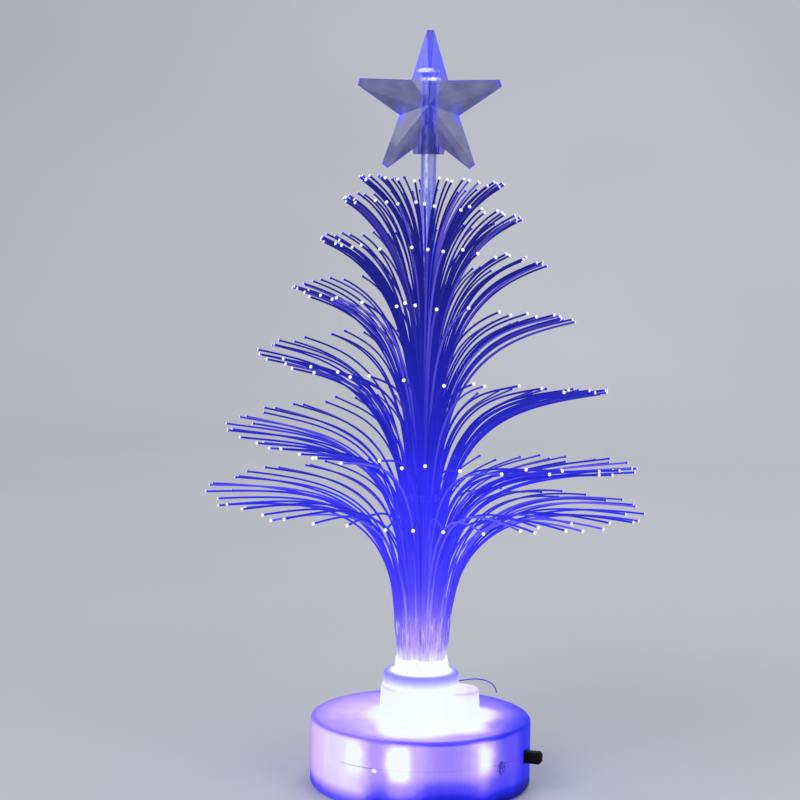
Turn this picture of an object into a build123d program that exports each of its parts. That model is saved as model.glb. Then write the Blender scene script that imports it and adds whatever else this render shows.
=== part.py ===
from build123d import *
import math
import os

os.makedirs("parts", exist_ok=True)

# A table-top tree of light: a round battery base, a glued sheaf of light guides, a rod and a star.
# Millimetres. The origin is the middle of the base's underside, +Z is up and the front looks along -Y.

# Gaps and allowances
seat_gap = 0.05
clear_gap = 0.3
cut_overrun = 1.0

# Base shells
base_radius = 25.3
base_height = 15.6
seam_height = 9.2
shell_wall = 1.5
top_edge_round = 1.1
bottom_edge_round = 1.0
round_steps = 4
seam_chamfer = 0.15
tongue_height = 1.2
tongue_thickness = 0.7

# Socket boss on the base, and the lobe beside it
boss_radius = 9.55
boss_height = 7.3
boss_taper = 0.42
boss_edge_chamfer = 0.3
lobe_radius = 5.35
lobe_offset = 9.3
lobe_azimuth = -28.0
lobe_wall = 1.4

# Ferrule that holds the sheaf
collar_radius = 8.6
collar_height = 2.65
collar_edge_chamfer = 0.35
collar_rim_radius = 8.2
collar_rim_height = 0.4
spigot_radius = 7.0
spigot_length = 5.0
ferrule_bore = 6.4

# Glue round the sheaf
glue_height = 3.4
glue_top_wall = 0.32

# Light guides: one tier for each turn of the helix of tips, lowest and outermost first
fibre_size = 0.45
ring_pitch = 0.54
strand_pitch = 0.52
tier_count = 7
potting_height = 2.5
root_depth = 1.0
skirt_reach = 50.2
skirt_height = 57.7
crown_drop = 15.8
lowest_leave = 31.0
crown_leave_drop = 31.5
leave_spread_share = 0.092
most_strands = 56
tip_scatter = 0.6
reach_scatter_share = 0.03
straggler_share = 0.13
straggler_power = 6
sway_share = 0.08
bunch_shares = (0.3, 0.8)
bunch_rate_shares = (0.23, 0.07)
lean_share = 0.035
reach_shares = (1.0, 0.985, 0.865, 0.715, 0.56, 0.445, 0.345, 0.29)
tip_shares = (0.05, 0.145, 0.355, 0.565, 0.73, 0.855, 0.965, 1.0)
leave_shares = (0.0, 0.15, 0.28, 0.49, 0.63, 0.8, 1.0)
rise_shares = (0.97, 0.93, 0.88, 0.82, 0.76, 0.7, 0.64, 0.6)
run_shares = (0.6, 0.58, 0.54, 0.5, 0.47, 0.44, 0.42, 0.4)
tip_slopes = (-9.0, 3.0, 9.0, 12.0, 18.0, 25.0, 31.0, 36.0)
arch_shares = (0, 0.224, 0.432, 0.663, 1)
golden_share = 0.618034
silver_share = 0.414214
tie_drop = 3.04
tie_width = 1.6
tie_thickness = 0.3
tied_tiers = 4

# A fibre that missed the ferrule and springs out over the base
stray_size = 0.28
stray_reach = 9.4
stray_drop = 2.9
stray_azimuth = 9.0
stray_out_shares = (0.0, 0.3, 0.58, 0.82, 0.96, 1.0)
stray_down_shares = (0.0, -0.16, -0.1, 0.14, 0.52, 1.0)

# Rod up the middle, and the star
rod_radius = 1.75
rod_in_star = 6.0
star_height = 154.3
star_radius = 16.7
star_notch_radius = 7.0
star_tip_width = 1.6
star_half_depth = 3.5
star_rim = 1.3
star_arms = 5
hub_radius = 2.4
hub_below = 10.8
hub_above = 8.7
hub_top_chamfer = 1.1
web_thickness = 1.0
web_top_half_width = 4.4
web_foot_half_width = 3.4
web_rise = 4.4

# Light source on its board
led_radius = 2.5
led_flange_radius = 2.9
led_flange_height = 1.0
led_length = 8.6
dome_steps = 4
led_gap = 0.6
led_lead_size = 0.5
led_lead_spread = 1.27
led_lead_tail = 2.4
board_length = 14.0
board_width = 12.0
board_thickness = 1.0
board_offset = 3.0
board_post_radius = 1.5
board_pin_radius = 0.7
board_post_spread = 5.2
board_post_inset = 1.8
resistor_radius = 0.9
resistor_length = 3.4
resistor_lead_radius = 0.25
resistor_span = 5.6

# Button cells on edge, and their trough
cell_radius = 5.8
cell_length = 5.4
cell_cap_radius = 4.7
cell_cap_length = 0.7
cell_edge_chamfer = 0.35
cell_count = 3
trough_offset = 11.5
trough_wall = 1.0
trough_pad = 1.2
trough_end_room = 2.5
trough_top = 12.5
contact_thickness = 0.3
contact_width = 6.0
contact_tail = 1.1
contact_tail_width = 2.0
spring_foot = 4.6
spring_bow = 6.0

# Battery door under the base
door_length = 24.0
door_width = 15.0
door_thickness = 1.2
door_recess = 0.3
door_corner = 1.5
ear_reach = 14.2
ear_radius = 2.8
grip_count = 3
grip_length = 5.0
grip_width = 0.6
grip_depth = 0.3
grip_pitch = 1.3
door_screw_radius = 0.8
door_screw_head_radius = 1.6
door_screw_head_height = 0.6
door_screw_length = 5.0
door_screw_play = 0.08
door_post_radius = 2.4
door_post_height = 5.4
drive_slot_width = 0.4
drive_slot_depth = 0.35
drive_slot_share = 0.75

# Screws that close the shells
screw_inset = 6.7
screw_azimuths = (28.0, 118.0, 196.0)
screw_radius = 0.9
screw_head_radius = 1.7
screw_head_height = 1.3
screw_recess = 0.7
screw_length = 9.5
post_radius = 2.6
post_top = 7.6
upper_post_radius = 2.3

# Slide switch in the wall
switch_azimuth = -17.0
switch_height = 8.4
switch_length = 8.6
switch_tall = 4.4
switch_deep = 3.4
switch_wall_gap = 0.6
switch_metal = 0.3
switch_base_thickness = 0.8
pin_length = 2.2
pin_width = 0.8
pin_thickness = 0.3
pin_spacing = 2.5
pin_count = 3
knob_width = 2.6
knob_tall = 2.7
knob_reach = 3.7
knob_round = 0.6
knob_end_chamfer = 0.5
knob_travel = 2.0
slider_width = 4.2
slider_thickness = 1.0
slider_lip = 0.35
slot_margin = 0.3
ledge_width = 6.0
cheek_thickness = 0.9

# Wires inside the base
wire_radius = 0.4
wire_bend = 1.3
wire_sides = 6
wire_lift = 0.15
wire_side = 1.7
wire_deck = 2.0
wire_step = 1.0
wire_turn = 2.4
wire_landing = 1.8

# Heights and radii that follow from the sizes above
inner_radius = base_radius - shell_wall
ceiling = base_height - shell_wall
boss_top = base_height + boss_height
rim_top = boss_top + collar_rim_height
collar_top = rim_top + collar_height
sheaf_foot = boss_top - spigot_length
rod_top = star_height + rod_in_star
crown_height = star_height - crown_drop
highest_leave = crown_height - crown_leave_drop
leave_range = highest_leave - lowest_leave
tie_height = lowest_leave + leave_range * leave_shares[tied_tiers - 1] - tie_drop
screw_circle = base_radius - screw_inset
potting_top = collar_top + potting_height
first_ring = rod_radius + seat_gap
sheaf_radius = first_ring + tier_count * ring_pitch
led_top = sheaf_foot - led_gap
board_top = led_top - led_length
board_foot = board_top - board_thickness
door_top = door_recess + door_thickness
pad_top = door_top + trough_pad
cell_foot = door_top + clear_gap
cell_middle = cell_foot + cell_radius
trough_length = cell_count * cell_length + trough_end_room
trough_width = 2 * (cell_radius + seat_gap + seat_gap)
contact_plane = -trough_length / 2
cells_start = contact_plane + contact_thickness
cells_end = cells_start + cell_count * cell_length
screw_end = screw_recess + screw_head_height + screw_length
switch_front = math.sqrt(inner_radius**2 - (switch_length / 2) ** 2) - (switch_wall_gap - clear_gap)
switch_back = switch_front - switch_deep
knob_rest = -knob_travel / 2
pin_top = switch_height + pin_thickness / 2

upright = (Align.CENTER, Align.CENTER, Align.MIN)


def disc(radius, low, high, x=0, y=0):
    """An upright cylinder between two heights."""
    return Pos(x, y, low) * Cylinder(radius, high - low, align=upright)


def ring(outer, inner, low, high):
    """An upright tube about the main axis."""
    return disc(outer, low, high) - disc(inner, low - cut_overrun, high + cut_overrun)


def block(x_from, x_to, y_from, y_to, z_from, z_to):
    """A box between two corners."""
    size = Box(x_to - x_from, y_to - y_from, z_to - z_from)
    return Pos((x_from + x_to) / 2, (y_from + y_to) / 2, (z_from + z_to) / 2) * size


def polar(radius, azimuth):
    """X and Y of a place on a circle about the main axis."""
    angle = math.radians(azimuth)
    return radius * math.cos(angle), radius * math.sin(angle)


def chamfered_top(shape, size):
    """The shape with its topmost edges chamfered."""
    return chamfer(shape.edges().group_by(Axis.Z)[-1], size)


def turned(points):
    """A solid of revolution about the main axis from its outline in radius and height."""
    return revolve(Face(Wire.make_polygon([Vector(r, 0, z) for r, z in points])), Axis.Z)


def rounded_corner(radius, height, edge_round, upward):
    """Points of a quarter circle, in steps, that rounds a disc's top or bottom edge."""
    points = []
    for step in range(round_steps + 1):
        angle = math.pi / 2 * step / round_steps
        out = radius - edge_round + edge_round * math.cos(angle)
        points.append((out, height + upward * (edge_round * math.sin(angle) - edge_round)))
    return points


def seam_corner(upward):
    """Outline of a shell's seam face and of the small chamfer at its outer edge."""
    groove = seam_height + upward * seam_chamfer
    return [(0, seam_height), (base_radius - seam_chamfer, seam_height), (base_radius, groove)]


def screw_places():
    """Where the three shell screws stand."""
    return [polar(screw_circle, azimuth) for azimuth in screw_azimuths]


def board_post_places():
    """Where the board's two posts stand."""
    y = board_offset + board_width / 2 - board_post_inset
    return [(-board_post_spread, y), (board_post_spread, y)]


def at_switch(shape):
    """Turn a piece drawn on the +X side round to the switch's place in the wall."""
    return Rot(0, 0, switch_azimuth) * shape


def knob_slot():
    """The slot that both shells leave in the wall for the knob."""
    half_length = (knob_width + knob_travel) / 2 + slot_margin
    half_tall = knob_tall / 2 + slot_margin
    outer = base_radius + cut_overrun
    low = switch_height - half_tall
    high = switch_height + half_tall
    return at_switch(block(switch_front - clear_gap, outer, -half_length, half_length, low, high))


def upper_shell():
    """Cover with the socket boss and its lobe, three screw bosses, and a rib over the switch."""
    corner = rounded_corner(base_radius, base_height, top_edge_round, 1)
    cover = turned(seam_corner(1) + corner + [(0, base_height)])
    boss = Cone(boss_radius, boss_radius - boss_taper, boss_height, align=upright)
    cover += Pos(0, 0, base_height) * chamfered_top(boss, boss_edge_chamfer)
    lobe_x, lobe_y = polar(lobe_offset, lobe_azimuth)
    lobe = Cone(lobe_radius, lobe_radius - boss_taper, boss_height, align=upright)
    cover += Pos(lobe_x, lobe_y, base_height) * chamfered_top(lobe, boss_edge_chamfer)
    cover -= disc(inner_radius, seam_height - cut_overrun, ceiling)
    rebate = inner_radius + tongue_thickness + seat_gap
    cover -= disc(rebate, seam_height - cut_overrun, seam_height + tongue_height + seat_gap)
    cover -= disc(lobe_radius - lobe_wall, ceiling - cut_overrun, boss_top - lobe_wall, lobe_x, lobe_y)
    cover -= disc(spigot_radius + seat_gap, ceiling - cut_overrun, boss_top + cut_overrun)
    for x, y in screw_places():
        cover += disc(upper_post_radius, post_top + seat_gap, ceiling + seat_gap, x, y)
        cover -= disc(screw_radius + seat_gap, post_top, screw_end + seat_gap, x, y)
    rib_low = switch_height + switch_tall / 2 + seat_gap
    half_rib = ledge_width / 2
    cover += at_switch(block(switch_back, switch_front, -half_rib, half_rib, rib_low, ceiling + seat_gap))
    return cover - knob_slot()


def door_outline(margin, low, high):
    """The door's rounded plate with its round screw ear, grown all round by a margin."""
    length = door_length + 2 * margin
    width = door_width + 2 * margin
    plate = Box(length, width, high - low, align=upright)
    plate = fillet(plate.edges().filter_by(Axis.Z), door_corner + margin)
    plate = Pos(0, -trough_offset, low) * plate
    round_ear = ear_radius + margin
    neck = block(-ear_reach, 0, -trough_offset - round_ear, -trough_offset + round_ear, low, high)
    return plate + neck + disc(round_ear, low, high, -ear_reach, -trough_offset)


def lower_shell():
    """Tray with the cell trough, door recess, screw posts, board posts and the switch's seat."""
    tray = turned(seam_corner(-1) + rounded_corner(base_radius, 0, bottom_edge_round, -1) + [(0, 0)])
    tray -= disc(inner_radius, shell_wall, seam_height + cut_overrun)
    tray += ring(inner_radius + tongue_thickness, inner_radius, shell_wall, seam_height + tongue_height)
    tray += door_outline(trough_wall, shell_wall - seat_gap, pad_top)
    half_length = trough_length / 2
    half_width = trough_width / 2
    front = -trough_offset - half_width
    back = -trough_offset + half_width
    outer_x = half_length + trough_wall
    pad = pad_top - seat_gap
    tray += block(-outer_x, outer_x, front - trough_wall, back + trough_wall, pad, trough_top)
    tray -= block(-half_length, half_length, front, back, -cut_overrun, trough_top + cut_overrun)
    tray += disc(door_post_radius, pad, pad_top + door_post_height, -ear_reach, -trough_offset)
    tray -= door_outline(clear_gap, -cut_overrun, door_top)
    bore = door_screw_radius + clear_gap
    bore_top = door_recess + door_screw_head_height + door_screw_length + clear_gap
    tray -= disc(bore, -cut_overrun, bore_top, -ear_reach, -trough_offset)
    for x, y in screw_places():
        tray += disc(post_radius, shell_wall - seat_gap, post_top, x, y)
        tray -= disc(screw_radius + seat_gap, -cut_overrun, post_top + cut_overrun, x, y)
        tray -= disc(screw_head_radius + seat_gap, -cut_overrun, screw_recess + screw_head_height, x, y)
    for x, y in board_post_places():
        tray += disc(board_post_radius, shell_wall - seat_gap, board_foot, x, y)
        tray += disc(board_pin_radius, board_foot - seat_gap, board_top + board_pin_radius, x, y)
    ledge_top = switch_height - switch_tall / 2 - seat_gap
    seat_back = switch_back - switch_base_thickness
    half_ledge = ledge_width / 2
    foot = shell_wall - seat_gap
    tray += at_switch(block(seat_back, inner_radius, -half_ledge, half_ledge, foot, ledge_top))
    cheek_from = switch_length / 2 + seat_gap
    cheek_to = cheek_from + cheek_thickness
    for y_from, y_to in ((cheek_from, cheek_to), (-cheek_to, -cheek_from)):
        tray += at_switch(block(seat_back, switch_front, y_from, y_to, foot, seam_height))
    return tray - knob_slot()


def battery_door():
    """Flush plate over the cells, with finger ridges and a countersunk ear for its screw."""
    plate = door_outline(0, door_recess, door_top)
    plate = chamfer(plate.edges().group_by(Axis.Z)[0], grip_depth)
    for index in range(grip_count):
        x = door_length / 2 - door_corner - cut_overrun - index * grip_pitch
        front = -trough_offset - grip_length / 2
        back = -trough_offset + grip_length / 2
        plate -= block(x - grip_width, x, front, back, door_recess - cut_overrun, door_recess + grip_depth)
    hole = door_screw_radius + door_screw_play
    plate -= disc(hole, 0, door_top + cut_overrun, -ear_reach, -trough_offset)
    head_room = door_screw_head_radius + seat_gap + seat_gap
    return plate - disc(head_room, 0, door_recess + door_screw_head_height, -ear_reach, -trough_offset)


def slotted_screw(radius, head_radius, head_height, length):
    """A small screw standing on its head, with a straight slot under it."""
    screw = disc(head_radius, 0, head_height) + disc(radius, head_height - seat_gap, head_height + length)
    screw = chamfer(screw.edges().group_by(Axis.Z)[-1], radius / 2)
    half_slot = head_radius * drive_slot_share
    half_width = drive_slot_width / 2
    return screw - block(-half_slot, half_slot, -half_width, half_width, -cut_overrun, drive_slot_depth)


def door_screw():
    """The screw that holds the battery door."""
    head_radius = door_screw_head_radius
    screw = slotted_screw(door_screw_radius, head_radius, door_screw_head_height, door_screw_length)
    return Pos(-ear_reach, -trough_offset, door_recess) * screw


def shell_screws():
    """Three screws that close the shells from below."""
    screw = slotted_screw(screw_radius, screw_head_radius, screw_head_height, screw_length)
    return Compound(children=[Pos(x, y, screw_recess) * screw for x, y in screw_places()])


def circuit_board():
    """Small board with holes for its pins and for the leads."""
    half_length = board_length / 2
    low_y = board_offset - board_width / 2
    board = block(-half_length, half_length, low_y, low_y + board_width, board_foot, board_top)
    for x, y in board_post_places():
        board -= disc(board_pin_radius + seat_gap, board_foot - cut_overrun, board_top + cut_overrun, x, y)
    for side in (-1, 1):
        x = side * led_lead_spread
        board -= disc(led_lead_size, board_foot - cut_overrun, board_top + cut_overrun, x, 0)
    return board


def led_lens():
    """Clear body of the lamp: a flange, a barrel and a dome turned from a quarter circle in steps."""
    flange_top = board_top + led_flange_height
    outline = [(0, board_top), (led_flange_radius, board_top)]
    outline += [(led_flange_radius, flange_top), (led_radius, flange_top)]
    for step in range(dome_steps + 1):
        angle = math.pi / 2 * step / dome_steps
        outline.append((led_radius * math.cos(angle), led_top - led_radius + led_radius * math.sin(angle)))
    return turned(outline[:-1] + [(0, led_top)])


def led_leads():
    """Two square leads of the lamp, through the board."""
    half = led_lead_size / 2
    leads = []
    for side in (-1, 1):
        x = side * led_lead_spread
        leads.append(block(x - half, x + half, -half, half, board_top - led_lead_tail, board_top))
    return Compound(children=leads)


def led_resistor():
    """A small axial resistor lying on the board."""
    y = board_offset + board_width / 2 - board_post_inset
    z = board_top + resistor_radius + seat_gap
    lying = Rot(0, 90, 0)
    body = Pos(0, y, z) * lying * Cylinder(resistor_radius, resistor_length)
    wire = Pos(0, y, z) * lying * Cylinder(resistor_lead_radius, resistor_span)
    body += wire
    for side in (-1, 1):
        x = side * (resistor_span / 2 - resistor_lead_radius)
        body += disc(resistor_lead_radius, board_top, z, x, y)
    return body


def button_cell(index):
    """One button cell lying with its axis along X, its smaller cap towards the spring."""
    can_length = cell_length - cell_cap_length
    can = Cylinder(cell_radius, can_length, align=upright)
    can = chamfer(can.edges(), cell_edge_chamfer)
    can += disc(cell_cap_radius, can_length - cell_edge_chamfer, cell_length)
    return Pos(cells_start + index * cell_length, -trough_offset, cell_middle) * Rot(0, 90, 0) * can


def bent_strip(points, width, y_middle):
    """A strip of constant thickness whose side outline is given in X and Z, carried along Y."""
    outline = [Vector(x, y_middle - width / 2, z) for x, z in points]
    return Solid.extrude(Face(Wire.make_polygon(outline)), Vector(0, width, 0))


def contact_plate():
    """Flat contact at the plus end of the row, its tail standing above the trough."""
    y = -trough_offset
    low = cell_middle - contact_width / 2
    half = contact_width / 2
    plate = block(contact_plane, cells_start, y - half, y + half, low, trough_top)
    tail_half = contact_tail_width / 2
    tail_top = trough_top + contact_tail
    return plate + block(contact_plane, cells_start, y - tail_half, y + tail_half, low, tail_top)


def contact_spring():
    """Leaf spring at the minus end: a foot on the trough's wall and a bowed leaf on the last cell."""
    wall_x = trough_length / 2
    leaf_x = cells_end
    low = cell_middle - spring_bow / 2
    high = cell_middle + spring_bow / 2
    metal = contact_thickness
    path = [
        (wall_x, low),
        (wall_x, trough_top + contact_tail),
        (wall_x - metal, trough_top + contact_tail),
        (wall_x - metal, low + 2 * metal),
        (leaf_x + metal, cell_middle),
        (wall_x - 2 * metal, high),
        (wall_x - 2 * metal - metal / 2, high - metal),
        (leaf_x, cell_middle),
        (wall_x - metal, low),
    ]
    return bent_strip(path, spring_foot, -trough_offset)


def switch_frame():
    """Bent metal can of the switch, open behind, with the knob's window in front."""
    half = switch_length / 2
    low = switch_height - switch_tall / 2
    high = switch_height + switch_tall / 2
    can = block(switch_back, switch_front, -half, half, low, high)
    inner_half = half - switch_metal
    front = switch_front - switch_metal
    floor = low + switch_metal
    can -= block(switch_back - cut_overrun, front, -inner_half, inner_half, floor, high - switch_metal)
    window_half = (knob_width + knob_travel) / 2 + slot_margin
    window_tall = knob_tall / 2 + seat_gap
    z_from = switch_height - window_tall
    z_to = switch_height + window_tall
    can -= block(front - switch_metal, switch_front + cut_overrun, -window_half, window_half, z_from, z_to)
    return at_switch(can)


def switch_base():
    """Insulating plate that closes the back of the switch."""
    half = switch_length / 2
    low = switch_height - switch_tall / 2
    high = switch_height + switch_tall / 2
    return at_switch(block(switch_back - switch_base_thickness, switch_back, -half, half, low, high))


def switch_pins():
    """Three solder pins behind the switch."""
    pins = []
    back = switch_back - switch_base_thickness
    for index in range(pin_count):
        y = (index - (pin_count - 1) / 2) * pin_spacing
        half_pin = pin_width / 2
        low = pin_top - pin_thickness
        pins.append(at_switch(block(back - pin_length, back, y - half_pin, y + half_pin, low, pin_top)))
    return Compound(children=pins)


def switch_knob():
    """Black knob: a lever through the wall on a wider slider inside the can."""
    inside = switch_front - switch_metal - clear_gap
    tip = base_radius + knob_reach
    half_tall = knob_tall / 2
    half_width = knob_width / 2
    lever = block(inside - slider_thickness, tip, -half_width, half_width, -half_tall, half_tall)
    lever = fillet(lever.edges().filter_by(Axis.X), knob_round)
    lever = chamfer(lever.edges().group_by(Axis.X)[-1], knob_end_chamfer)
    slider_half = slider_width / 2
    slider_tall = half_tall - clear_gap + slider_lip
    lever += block(inside - slider_thickness, inside, -slider_half, slider_half, -slider_tall, slider_tall)
    return at_switch(Pos(0, knob_rest, switch_height) * lever)


def ferrule_collar():
    """Flanged sleeve that the sheaf is glued into, its spigot in the boss."""
    collar = chamfered_top(disc(collar_radius, rim_top, collar_top), collar_edge_chamfer)
    collar += disc(collar_rim_radius, boss_top, rim_top)
    collar += disc(spigot_radius, sheaf_foot, boss_top)
    return collar - disc(ferrule_bore, sheaf_foot - cut_overrun, collar_top + cut_overrun)


def glue_plug():
    """Hardened glue between the sheaf and the ferrule, drawn up round the fibres in a cone."""
    inside = sheaf_radius + seat_gap
    outside = ferrule_bore - seat_gap
    glue_top = collar_top + glue_height
    return turned(
        [
            (inside, sheaf_foot),
            (outside, sheaf_foot),
            (outside, collar_top),
            (inside + glue_top_wall, glue_top),
            (inside, glue_top),
        ]
    )


def light_rod():
    """Clear rod from over the lamp up into the star."""
    rod = disc(rod_radius, sheaf_foot, rod_top)
    return chamfer(rod.edges().group_by(Axis.Z)[-1], seat_gap + seat_gap)


def star():
    """Faceted star on its hub: a fan of flat facets on each face, a rim, a web between the lower arms."""
    outline = []
    step = 360 / star_arms
    for arm in range(star_arms):
        angle = math.radians(90 + arm * step)
        along_x, along_z = math.cos(angle), math.sin(angle)
        half_tip = star_tip_width / 2
        for side in (1, -1):
            x = star_radius * along_x + side * half_tip * along_z
            z = star_radius * along_z - side * half_tip * along_x
            outline.append((x, z))
        notch = angle + math.radians(step / 2)
        outline.append((star_notch_radius * math.cos(notch), star_notch_radius * math.sin(notch)))
    front_middle = Vector(0, -star_half_depth, 0)
    back_middle = Vector(0, star_half_depth, 0)
    faces = []
    for index, (x, z) in enumerate(outline):
        next_x, next_z = outline[(index + 1) % len(outline)]
        front = Vector(x, -star_rim / 2, z)
        back = Vector(x, star_rim / 2, z)
        next_front = Vector(next_x, -star_rim / 2, next_z)
        next_back = Vector(next_x, star_rim / 2, next_z)
        faces.append(Face(Wire.make_polygon([front_middle, front, next_front])))
        faces.append(Face(Wire.make_polygon([back_middle, next_back, back])))
        faces.append(Face(Wire.make_polygon([front, back, next_back, next_front])))
    body = Pos(0, 0, star_height) * Solid(Shell(faces))
    hub_foot = star_height - hub_below
    hub = disc(hub_radius, hub_foot, star_height + hub_above)
    body += chamfer(hub.edges().group_by(Axis.Z)[-1], hub_top_chamfer)
    half = web_thickness / 2
    web = [
        Vector(-web_foot_half_width, -half, hub_foot),
        Vector(web_foot_half_width, -half, hub_foot),
        Vector(web_top_half_width, -half, hub_foot + web_rise),
        Vector(-web_top_half_width, -half, hub_foot + web_rise),
    ]
    body += Solid.extrude(Face(Wire.make_polygon(web)), Vector(0, web_thickness, 0))
    return body - disc(rod_radius + seat_gap, hub_foot - cut_overrun, rod_top + clear_gap)


def share_at(shares, place):
    """The value of an evenly spaced table at a place between its entries."""
    low = min(int(place), len(shares) - 2)
    return shares[low] + (shares[low + 1] - shares[low]) * (place - low)


def scatter_of(index, tier, share):
    """An even scatter between 0 and 1 over a tier's fibres."""
    return ((index + 1) * share + tier * golden_share**2) % 1


def bunched(turn, index, tier, count):
    """The turn where a fibre's tip goes: neighbours draw together in fours and fives, in their order."""
    shift = 0
    for share, rate in zip(bunch_shares, bunch_rate_shares):
        shift += share / count * math.sin(2 * math.pi * rate * index + tier)
    return turn + shift * math.sin(math.pi * (turn - tier))


def strand_line(turn, length, tip, sway):
    """Distance out and height along one fibre: straight up the sheaf, then a cubic arch out to the tip.

    The arch leaves upwards with a small lean and arrives at the slope of its turn.
    """
    tier = int(turn)
    leave = lowest_leave + leave_range * (leave_shares[tier] + leave_spread_share * (turn - tier))
    slope = math.radians(share_at(tip_slopes, turn))
    rise = (tip - leave) * share_at(rise_shares, turn) * (1 + sway)
    run = length * share_at(run_shares, turn)
    corners = (
        (0, leave),
        (rise * lean_share, leave + rise),
        (length - run * math.cos(slope), tip - run * math.sin(slope)),
        (length, tip),
    )
    line = [(0, potting_top - root_depth)]
    for s in arch_shares:
        weights = ((1 - s) ** 3, 3 * s * (1 - s) ** 2, 3 * s * s * (1 - s), s**3)
        line.append(tuple(sum(w * c[axis] for w, c in zip(weights, corners)) for axis in (0, 1)))
    return line


def strand(tier, index, count, ring_radius):
    """One fibre, from its place in the ring to its tip, in an upright plane of its own."""
    turn = tier + (index + 0.5) / count
    scatter = scatter_of(index, tier, golden_share)
    shorter = reach_scatter_share * scatter + straggler_share * scatter**straggler_power
    reach = skirt_reach * share_at(reach_shares, turn) * (1 - shorter)
    other_scatter = 2 * scatter_of(index, tier, silver_share) - 1
    tip = skirt_height + (crown_height - skirt_height) * share_at(tip_shares, turn)
    tip += tip_scatter * other_scatter
    root_x, root_y = polar(ring_radius, 90 - 360 * turn)
    tip_x, tip_y = polar(reach, 90 - 360 * bunched(turn, index, tier, count))
    direction = math.degrees(math.atan2(tip_y - root_y, tip_x - root_x))
    length = math.hypot(tip_x - root_x, tip_y - root_y)
    line = strand_line(turn, length, tip, sway_share * other_scatter)
    return Pos(root_x, root_y, 0) * Rot(0, 0, direction) * ribbon(line, fibre_size)


def ribbon(line, size):
    """A four-sided strand: its side outline with mitred bends, carried across by its width."""
    steps = [(b[0] - a[0], b[1] - a[1]) for a, b in zip(line, line[1:])]
    ways = [(x / math.hypot(x, z), z / math.hypot(x, z)) for x, z in steps]
    left, right = [], []
    for index, (r, z) in enumerate(line):
        before = ways[max(index - 1, 0)]
        after = ways[min(index, len(ways) - 1)]
        across = (-(before[1] + after[1]), before[0] + after[0])
        scale = size / (1 + before[0] * after[0] + before[1] * after[1])
        left.append(Vector(r + across[0] * scale / 2, -size / 2, z + across[1] * scale / 2))
        right.append(Vector(r - across[0] * scale / 2, -size / 2, z - across[1] * scale / 2))
    outline = Face(Wire.make_polygon(left + right[::-1]))
    return Solid.extrude(outline, Vector(0, size, 0))


def fibre_tier(tier):
    """One turn of the helix: its fibres in one ring of the sheaf, fused to that ring's slice of potting."""
    inner = first_ring + (tier_count - 1 - tier) * ring_pitch
    outer = inner + ring_pitch - seat_gap
    middle = (inner + outer) / 2
    slice_ring = ring(outer, inner, sheaf_foot, potting_top)
    count = min(int(2 * math.pi * middle / strand_pitch), most_strands)
    strands = [strand(tier, index, count, middle) for index in range(count)]
    return slice_ring.fuse(*strands)


def bundle_tie():
    """Thin clear ring that keeps the inner fibres together half way up."""
    inner = first_ring + tied_tiers * ring_pitch
    return ring(inner + tie_thickness, inner, tie_height, tie_height + tie_width)


def stray_fibre():
    """A short fibre caught under the collar, springing out and over the base."""
    start = collar_rim_radius + seat_gap
    height = (boss_top + rim_top) / 2
    line = []
    for out, down in zip(stray_out_shares, stray_down_shares):
        line.append((start + stray_reach * out, height - stray_drop * down))
    return Rot(0, 0, stray_azimuth) * ribbon(line, stray_size)


def wire(points):
    """A thin insulated wire along straight runs with round bends."""
    path = FilletPolyline(*points, radius=wire_bend)
    start = Plane(origin=path @ 0, z_dir=path % 0)
    return sweep(start * RegularPolygon(wire_radius, wire_sides), path=path)


def pin_place(index):
    """Where a wire is soldered on top of one switch pin, near the pin's inner end."""
    reach = switch_back - switch_base_thickness - pin_length + wire_radius
    side = (index - (pin_count - 1) / 2) * pin_spacing
    angle = math.radians(switch_azimuth)
    x = reach * math.cos(angle) - side * math.sin(angle)
    y = reach * math.sin(angle) + side * math.cos(angle)
    return x, y


def wire_plus():
    """Wire from the plus contact, round behind the trough, to the switch's first pin."""
    over = trough_top + wire_radius + wire_lift
    side = trough_length / 2 + trough_wall + wire_side
    lane = (trough_width / 2 + trough_wall - trough_offset - led_flange_radius) / 2
    deck = board_top + wire_deck
    pin_x, pin_y = pin_place(0)
    return wire(
        [
            (contact_plane, -trough_offset, over),
            (-side, -trough_offset, over),
            (-side, lane, deck),
            (pin_x, lane, deck),
            (pin_x, pin_y, deck),
            (pin_x, pin_y, pin_top),
        ]
    )


def wire_switch():
    """Wire from the switch's middle pin to the board."""
    deck = board_top + wire_deck + wire_step
    landing = board_length / 2 - wire_landing
    pin_x, pin_y = pin_place(1)
    return wire(
        [
            (pin_x, pin_y, pin_top),
            (pin_x, pin_y, deck),
            (landing, wire_radius, deck),
            (landing, wire_radius, board_top),
        ]
    )


def wire_minus():
    """Wire from the leaf spring, over the other two, to the board."""
    over = trough_top + wire_radius + wire_lift
    side = trough_length / 2 + trough_wall + wire_side
    landing = board_length / 2 - wire_landing
    return wire(
        [
            (trough_length / 2, -trough_offset, over),
            (side, -trough_offset, over),
            (side, -wire_turn, over - wire_lift),
            (landing, -wire_landing, over - wire_radius),
            (landing, -wire_landing, board_top),
        ]
    )


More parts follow.
